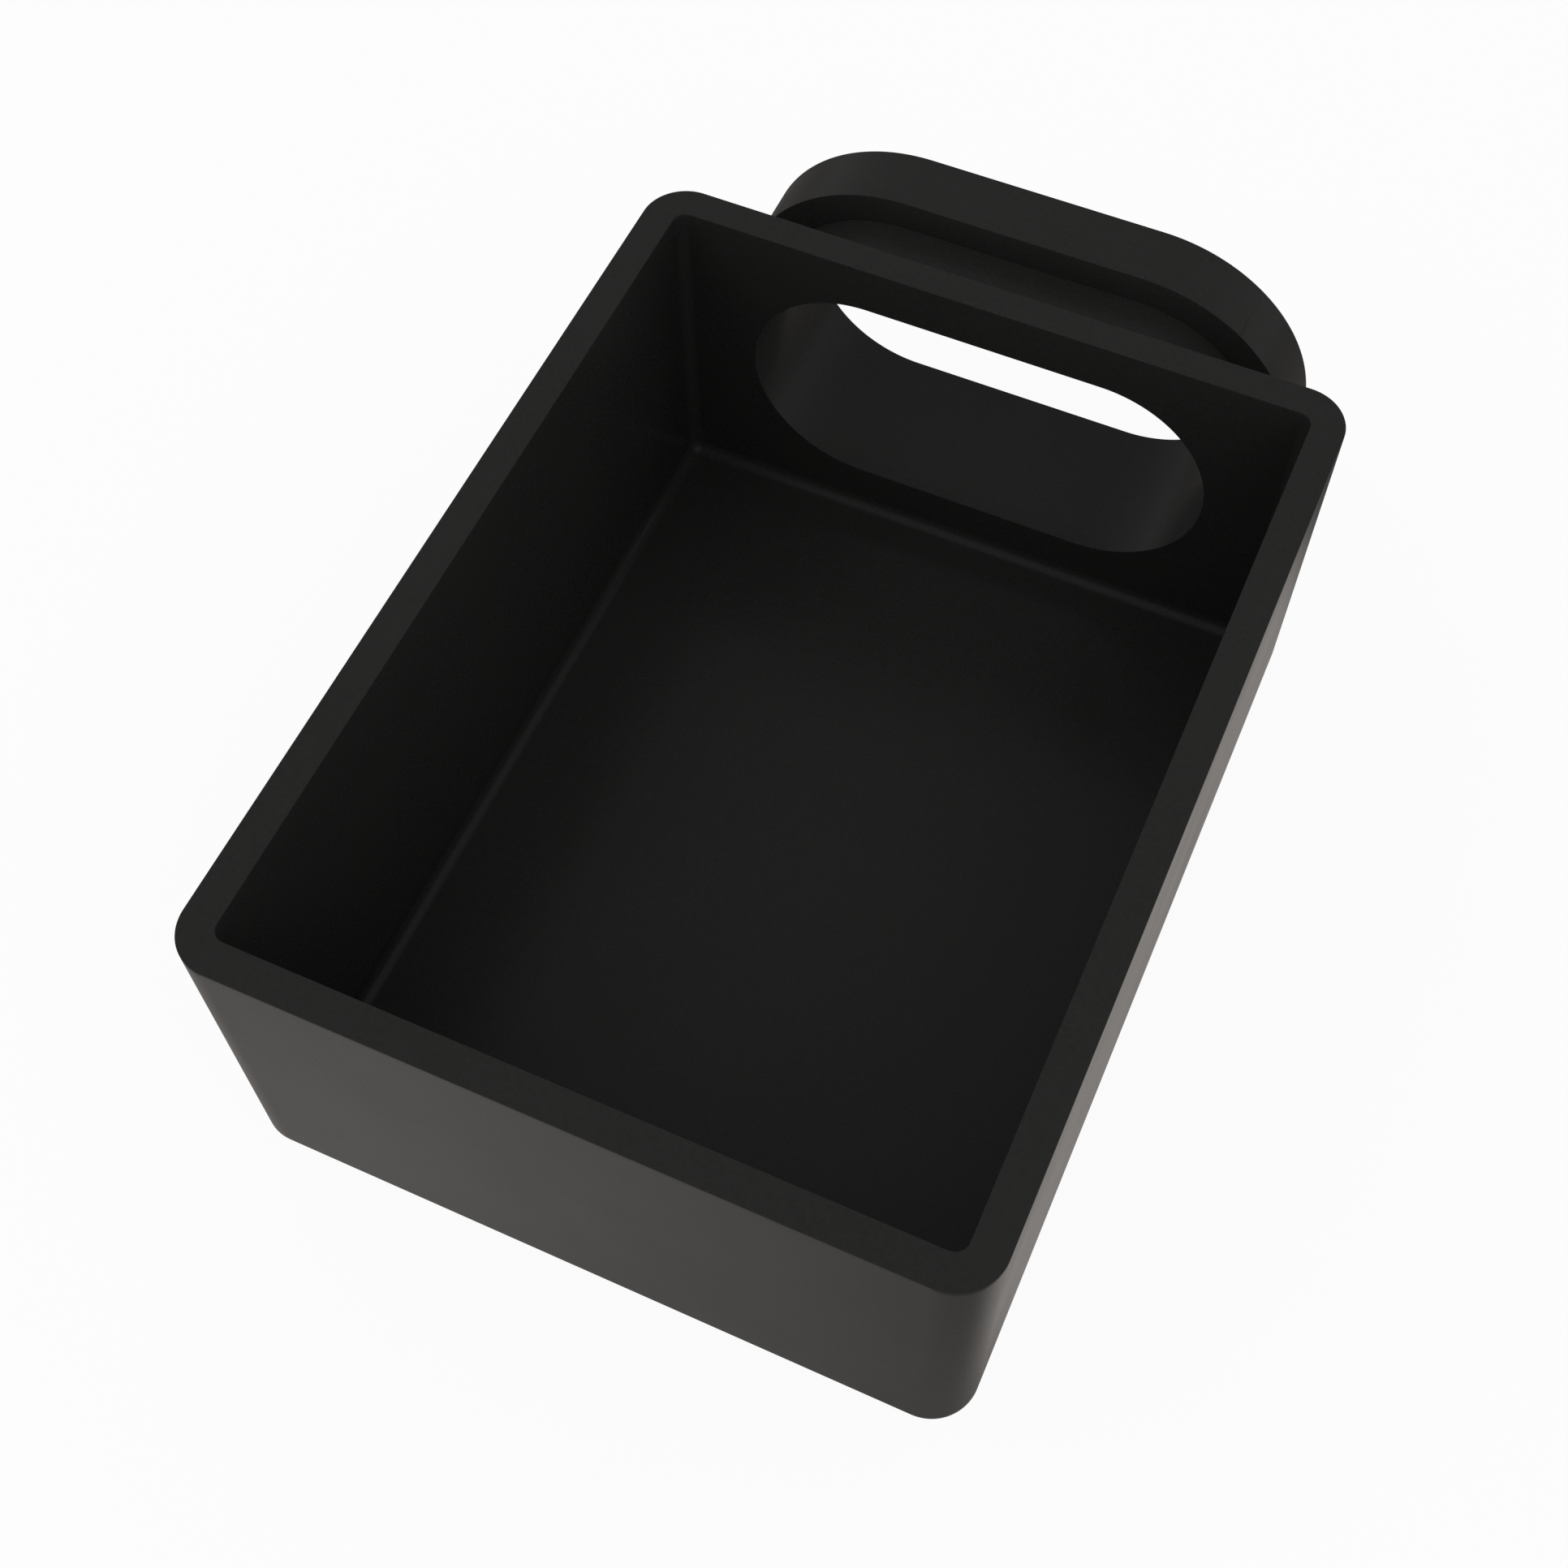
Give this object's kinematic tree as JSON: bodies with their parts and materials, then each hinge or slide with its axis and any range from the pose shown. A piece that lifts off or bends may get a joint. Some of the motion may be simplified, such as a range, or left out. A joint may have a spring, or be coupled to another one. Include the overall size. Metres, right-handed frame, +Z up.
{
  "type": "tool storage caddy",
  "caption": "Open-top rectangular bin for small hand tools, with a hollow oblong spool behind its rear wall that hooks the bin on a panel.",
  "frame": {"origin": "centre of the footprint of the whole caddy, on the surface that it stands on", "axes": "+X to the right seen from the front, +Y from the front wall to the flange, +Z up"},
  "size_m": [0.1016, 0.1524, 0.0554],
  "materials": {
    "moulded_plastic": "near-black satin plastic, plain moulded surface"
  },
  "bodies": {
    "root": {"bin": "moulded_plastic", "hanger_sleeve": "moulded_plastic", "hanger_flange": "moulded_plastic"}
  },
  "joints": []
}
